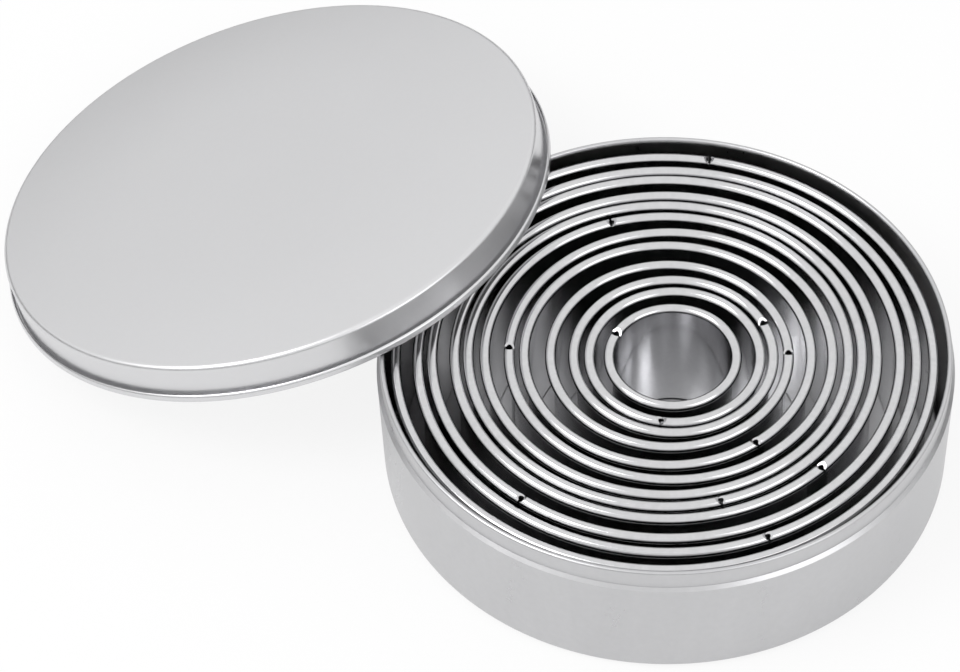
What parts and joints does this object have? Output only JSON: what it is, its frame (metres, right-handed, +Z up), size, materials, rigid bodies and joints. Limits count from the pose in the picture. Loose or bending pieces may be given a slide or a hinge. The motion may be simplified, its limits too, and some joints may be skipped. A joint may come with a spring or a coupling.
{
  "type": "biscuit cutter set",
  "caption": "Nested round biscuit cutters with rolled edges, standing in a shallow round tin with its lid leaning on the rim.",
  "frame": {"origin": "centre of the tin's flat underside", "axes": "+Z up out of the tin, +Y to the back, +X to the right, as seen by someone who faces the set with the lid behind on the left"},
  "size_m": [0.1968, 0.1714, 0.0416],
  "materials": {
    "tin_plate": "satin tin plate",
    "lid_plate": "fine satin tin plate",
    "cutter_steel": "bright rolled steel strip"
  },
  "bodies": {
    "tin": {"tin_body": "tin_plate"},
    "lid": {"tin_lid": "lid_plate"},
    "cutter_01": {"cutter_01": "cutter_steel"},
    "cutter_02": {"cutter_02": "cutter_steel"},
    "cutter_03": {"cutter_03": "cutter_steel"},
    "cutter_04": {"cutter_04": "cutter_steel"},
    "cutter_05": {"cutter_05": "cutter_steel"},
    "cutter_06": {"cutter_06": "cutter_steel"},
    "cutter_07": {"cutter_07": "cutter_steel"},
    "cutter_08": {"cutter_08": "cutter_steel"},
    "cutter_09": {"cutter_09": "cutter_steel"},
    "cutter_10": {"cutter_10": "cutter_steel"},
    "cutter_11": {"cutter_11": "cutter_steel"},
    "cutter_12": {"cutter_12": "cutter_steel"}
  },
  "joints": [
    {"name": "lid_lift", "type": "slide", "parent": "tin", "child": "lid", "axis": [0, 0, 1], "range_m": [0, 0.12]},
    {"name": "cutter_01_lift", "type": "slide", "parent": "tin", "child": "cutter_01", "axis": [0, 0, 1], "range_m": [0, 0.037]},
    {"name": "cutter_02_lift", "type": "slide", "parent": "tin", "child": "cutter_02", "axis": [0, 0, 1], "range_m": [0, 0.037]},
    {"name": "cutter_03_lift", "type": "slide", "parent": "tin", "child": "cutter_03", "axis": [0, 0, 1], "range_m": [0, 0.037]},
    {"name": "cutter_04_lift", "type": "slide", "parent": "tin", "child": "cutter_04", "axis": [0, 0, 1], "range_m": [0, 0.037]},
    {"name": "cutter_05_lift", "type": "slide", "parent": "tin", "child": "cutter_05", "axis": [0, 0, 1], "range_m": [0, 0.037]},
    {"name": "cutter_06_lift", "type": "slide", "parent": "tin", "child": "cutter_06", "axis": [0, 0, 1], "range_m": [0, 0.037]},
    {"name": "cutter_07_lift", "type": "slide", "parent": "tin", "child": "cutter_07", "axis": [0, 0, 1], "range_m": [0, 0.037]},
    {"name": "cutter_08_lift", "type": "slide", "parent": "tin", "child": "cutter_08", "axis": [0, 0, 1], "range_m": [0, 0.037]},
    {"name": "cutter_09_lift", "type": "slide", "parent": "tin", "child": "cutter_09", "axis": [0, 0, 1], "range_m": [0, 0.037]},
    {"name": "cutter_10_lift", "type": "slide", "parent": "tin", "child": "cutter_10", "axis": [0, 0, 1], "range_m": [0, 0.037]},
    {"name": "cutter_11_lift", "type": "slide", "parent": "tin", "child": "cutter_11", "axis": [0, 0, 1], "range_m": [0, 0.037]},
    {"name": "cutter_12_lift", "type": "slide", "parent": "tin", "child": "cutter_12", "axis": [0, 0, 1], "range_m": [0, 0.037]}
  ],
  "couplings": [
    {"joint": "cutter_07_lift", "follows": "lid_lift", "ratio": 0.3},
    {"joint": "cutter_08_lift", "follows": "lid_lift", "ratio": 0.3},
    {"joint": "cutter_09_lift", "follows": "lid_lift", "ratio": 0.3},
    {"joint": "cutter_10_lift", "follows": "lid_lift", "ratio": 0.3},
    {"joint": "cutter_11_lift", "follows": "lid_lift", "ratio": 0.3},
    {"joint": "cutter_12_lift", "follows": "lid_lift", "ratio": 0.3}
  ]
}
